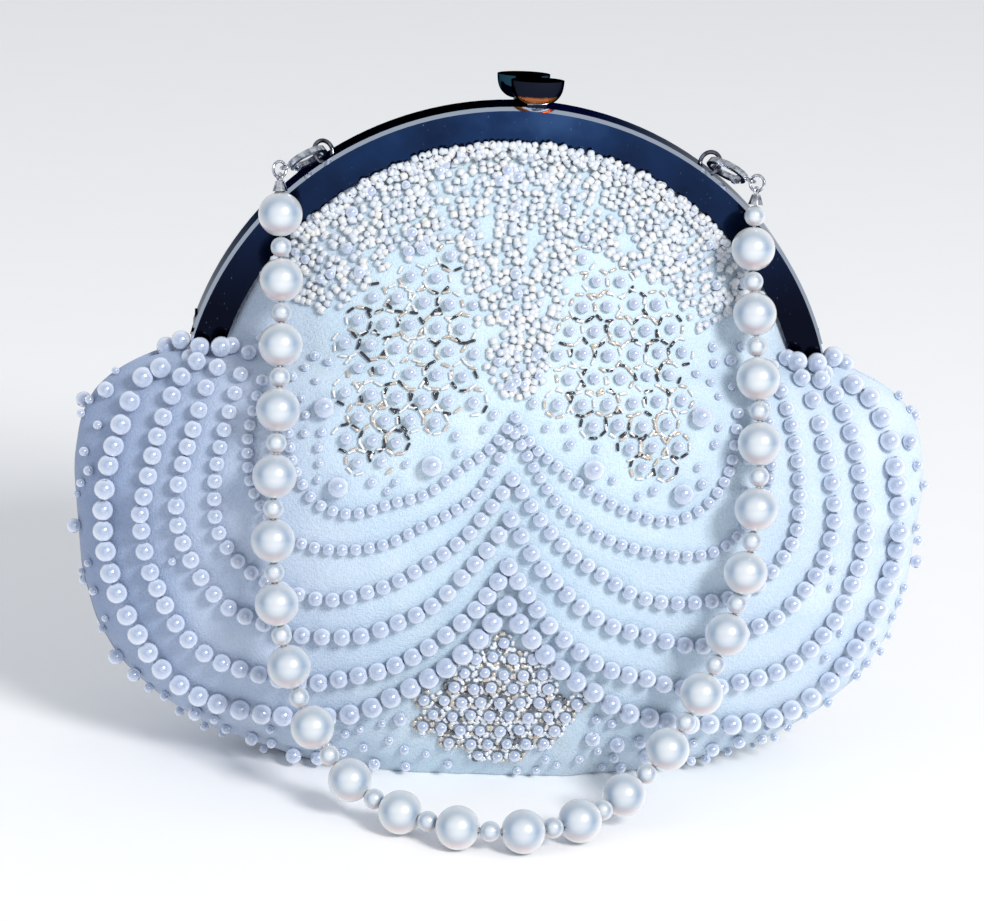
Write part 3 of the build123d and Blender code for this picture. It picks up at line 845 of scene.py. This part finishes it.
def leaves():
    """Two leaves of netted bugle rings, each ring round a pearl."""
    ring, clear, missing = 3.15, 3.4, 0.12
    bugles, pearls = [], []
    for flip in (-1, 1):
        for x, z in leaf_cells():
            taken.append((flip * x, z, clear))
            radius = ring + rng.uniform(-0.15, 0.2)
            start = rng.uniform(0, FULL_TURN)
            for step in range(RING_BEADS):
                if rng.random() < missing:
                    continue
                turn = start + step * 2 * math.pi / RING_BEADS
                bx, bz = x + radius * math.cos(turn), z + radius * math.sin(turn)
                skew = turn + math.pi / 2 + rng.uniform(-0.2, 0.2)
                sew(bugles, flip * bx, bz, (flip * math.cos(skew), math.sin(skew)), 1.0, 0.5)
            size = rng.uniform(0.92, 1.06)
            sew(pearls, flip * x, z, (math.cos(start), math.sin(start)), size, 1.4)
    beads("leaf_bugles", tube(0.39, 0.16, 2.1, 8), bugles, mats["bugle"])
    beads("leaf_pearls", bored_ball(3.0, 0.4, 8, 14), pearls, mats["pearl"])


def fan():
    """The fan at the foot: lined glass beads in a net with pearls."""
    pitch, ring, clear, jitter, foot = 4.9, 2.35, 2.6, 0.4, 8.5
    glass, pearls = [], []
    for row in range(10):
        for column in range(-6, 7):
            x = column * pitch + (row % 2) * pitch / 2 + rng.uniform(-jitter, jitter)
            z = foot + row * pitch * HEX_ROW + rng.uniform(-jitter, jitter)
            if not inside(x, z, FAN):
                continue
            taken.append((x, z, clear))
            sew(pearls, x, z, (1, rng.uniform(-1, 1)), rng.uniform(0.9, 1.08), 1.3)
            for step in range(RING_BEADS):
                turn = step * 2 * math.pi / RING_BEADS + row
                bx, bz = x + ring * math.cos(turn), z + ring * math.sin(turn)
                sew(glass, bx, bz, (-math.sin(turn), math.cos(turn)), rng.uniform(0.85, 1.1), 0.6)
    beads("fan_glass_beads", tube(0.62, 0.25, 1.6, 8), glass, mats["fan"])
    beads("fan_pearls", bored_ball(3.0, 0.4, 8, 12), pearls, mats["pearl"])


def fountain(seeds, pearls):
    """Rows of seed beads that fan out from a tip in the middle, with a few pearls among them."""
    bands = [(2, 9), (9, 17), (17, 27), (27, 38), (38, 50), (50, 62), (62, 76)]
    tip_z, spread_angle = 106.0, math.radians(140)
    lane_pitch, bead_pitch, pearl_share, frame_gap = 2.02, 1.66, 0.045, 0.6
    bare_above, bare_reach = 0.42, 48
    for low, high in bands:
        lanes = max(2, round(spread_angle * (low + high) / 2 / lane_pitch))
        for lane in range(lanes):
            angle = spread_angle * ((lane + rng.uniform(0.2, 0.8)) / lanes - 0.5)
            shift = rng.uniform(0, 1.9)
            for distance in np.arange(low + shift, high, bead_pitch):
                sway = angle + 0.06 * noise.noise(Vector((angle * 4, distance * 0.07, 2)))
                x = distance * math.sin(sway) + rng.uniform(-0.65, 0.65)
                z = tip_z + distance * math.cos(sway) + rng.uniform(-0.5, 0.5)
                in_arch = math.hypot(x, z - arc_z) <= band_inner - frame_gap
                if not (in_arch and inside(abs(x), z, FIELD)):
                    continue
                bare = noise.noise(Vector((x * 0.12, z * 0.12, 4))) > bare_above
                if bare and distance < bare_reach:
                    continue
                if rng.random() < pearl_share:
                    sew(pearls, x, z, (math.sin(sway), math.cos(sway)), rng.uniform(0.8, 1.1), 1.2)
                    continue
                skew = sway + rng.uniform(-0.7, 0.7)
                sew(seeds, x, z, (math.sin(skew), math.cos(skew)), rng.uniform(0.88, 1.18), 0.7)


def crust(seeds):
    """Seed beads that lap over the frame's inner edge."""
    lap, ring_pitch, off_face = 2.7, 1.25, 0.9
    for turn in np.arange(42, 138, 1.15):
        for ring in range(3):
            drawn_in = abs(turn - 90) * 0.012
            radius = band_inner - lap + ring * ring_pitch + rng.uniform(-0.5, 0.5) - drawn_in
            angle = math.radians(turn + rng.uniform(-0.5, 0.5))
            y = -face_y - off_face - rng.uniform(0, 0.8)
            place = np.array((radius * math.cos(angle), y, arc_z + radius * math.sin(angle)))
            direction = Vector((rng.uniform(-1, 1), rng.uniform(-0.4, 0.4), rng.uniform(-1, 1)))
            seeds.append((place, direction, rng.random(), rng.uniform(0.85, 1.1)))


def field():
    """The field of seed beads inside the arch."""
    seeds, pearls = [], []
    fountain(seeds, pearls)
    crust(seeds)
    beads("fountain_seeds", tube(0.98, 0.36, 1.6, 9), seeds, mats["seed"])
    beads("fountain_pearls", bored_ball(3.0, 0.4, 8, 12), pearls, mats["pearl"])


def scattered():
    """Single pearls between and outside the swags."""
    big_places = [(46.1, 118.8), (47.4, 102), (43.7, 82.7), (20.3, 89.4), (8.2, 104.5)]
    most, tries, small_radius = 900, 9000, 1.4
    half_width, lowest, highest = 110, 3, 118
    side_strip, foot_strip = 84, 22
    big, small = [], []
    for x, z in big_places:
        for flip in (-1, 1):
            if free_place(flip * x, z, 2.4, 0.0) and sew(big, flip * x, z, (1, 0), 1.0, 2.2):
                taken.append((flip * x, z, 2.7))
    for _ in range(tries):
        x, z = rng.uniform(-half_width, half_width), rng.uniform(lowest, highest)
        outside = abs(x) > side_strip or z < foot_strip + max(0, abs(x) - 55) * 0.02
        near_leaf = abs(x) < 68 and z > 82
        if not (outside or near_leaf) or inside(abs(x), z, LEAF) or inside(x, z, FAN):
            continue
        tiny = near_leaf or rng.random() < 0.55
        radius = rng.uniform(1.0, small_radius) if tiny else rng.uniform(1.8, 2.3)
        if not free_place(x, z, radius, 1.2 if near_leaf else 1.5):
            continue
        along = (rng.uniform(-1, 1), rng.uniform(-1, 1))
        if sew(small, x, z, along, radius / small_radius * rng.uniform(0.85, 1.05), radius * 0.85):
            taken.append((x, z, radius))
        if len(small) > most:
            break
    beads("single_pearls", bored_ball(5.4, 0.5, 10, 16), big, mats["pearl"])
    beads("scattered_pearls", bored_ball(2 * small_radius, 0.35, 8, 12), small, mats["pearl"])


def frame_end_pearls():
    """The clusters that cover the frame's lower ends."""
    cluster = [(84.5, -4.0, 112.4), (79.6, -9.0, 112.0), (74.2, -10.5, 112.6), (88.2, -0.5, 109.6),
               (82.0, -6.5, 108.5)]
    found = []
    for flip in (-1, 1):
        for x, y, z in cluster:
            place = np.array((flip * x, y, z))
            found.append((place, Vector((1, 0.2, 0.3)), rng.random(), rng.uniform(0.92, 1.05)))
    beads("frame_end_pearls", bored_ball(5.2, 0.45, 10, 16), found, mats["pearl"])


def back_pearls():
    """Swags on the back's shoulders and sides; the middle of the back is left plain."""
    pitch, gap, tries = 5.4, 8, 900
    found = []
    for _, points in ROWS[:3]:
        for flip in (-1, 1):
            for x, z in spread(points, pitch):
                if z <= hinge - 8:
                    sew(found, flip * x, z, (1, 0.2), 1.0, 2.1, side=1)
    for _ in range(tries):
        x, z = rng.choice((-1, 1)) * rng.uniform(84, 108), rng.uniform(20, hinge - 6)
        if all(math.hypot(x - place[0], z - place[2]) > gap for place, _, _, _ in found):
            sew(found, x, z, (1, 0), rng.uniform(0.6, 1.0), 1.8, side=1)
    tuck_in(beads("back_pearls", bored_ball(5.0, 0.45, 8, 14), found, mats["pearl"], body=None))


row_pearls()
leaves()
fan()
field()
scattered()
frame_end_pearls()
back_pearls()


# ------------------------------------------------------------------ carried CAD pieces
FINISHES = {
    "front_frame": "frame", "back_frame": "frame",
    "front_kiss_knob": "front_knob", "back_kiss_knob": "back_knob",
    "left_hinge_rivet": "clasp", "right_hinge_rivet": "clasp", "base_board": "board",
    "front_paper_cord": "paper", "back_paper_cord": "paper",
}
for hand in ("left", "right"):
    FINISHES[hand + "_handle_loop"] = "loop"
    for piece in ("clasp_body", "clasp_trigger", "clasp_pin", "clasp_spring", "jump_ring", "bead_tip"):
        FINISHES[f"{hand}_{piece}"] = "clasp"
for name, finish in FINISHES.items():
    nodes[name].data.materials.clear()
    nodes[name].data.materials.append(mats[finish])


# ------------------------------------------------------------------ floor and light
def floor_material():
    material, tree, shader, add = start_material("pale_floor")
    grain = noise_fac(add, 40.0, 3.0)
    tone = ramp(add, grain, [(0.0, (0.97, 0.97, 0.98)), (1.0, (0.99, 0.99, 0.99))])
    wire(tree, shader, Base_Color=tone, Roughness=0.9)
    return material


def light(name, place, target, size, power, colour):
    data = bpy.data.lights.new(name, "AREA")
    data.size = size
    data.energy = power
    data.color = colour
    made = bpy.data.objects.new(name, data)
    made.location = place
    made.rotation_euler = (Vector(target) - Vector(place)).to_track_quat("-Z", "Y").to_euler()
    bpy.context.scene.collection.objects.link(made)


reach = 6.0
corners = [(-reach, -reach, 0), (reach, -reach, 0), (reach, reach, 0), (-reach, reach, 0)]
floor = mesh_object("floor", corners, [(0, 1, 2, 3)], floor_material(), smooth=False)
world = bpy.data.worlds.new("studio")
world.use_nodes = True
background = world.node_tree.nodes["Background"]
background.inputs["Color"].default_value = (0.93, 0.96, 1.0, 1)
background.inputs["Strength"].default_value = 0.64
bpy.context.scene.world = world
light("key", (1.00, -1.85, 1.40), (0, 0, 0.07), 0.60, 48.0, (1.0, 0.99, 0.97))
light("fill", (-0.9, -0.7, 0.5), (0, 0, 0.07), 0.8, 1.0, (0.75, 0.85, 1.0))
bpy.context.scene.view_settings.view_transform = "Standard"
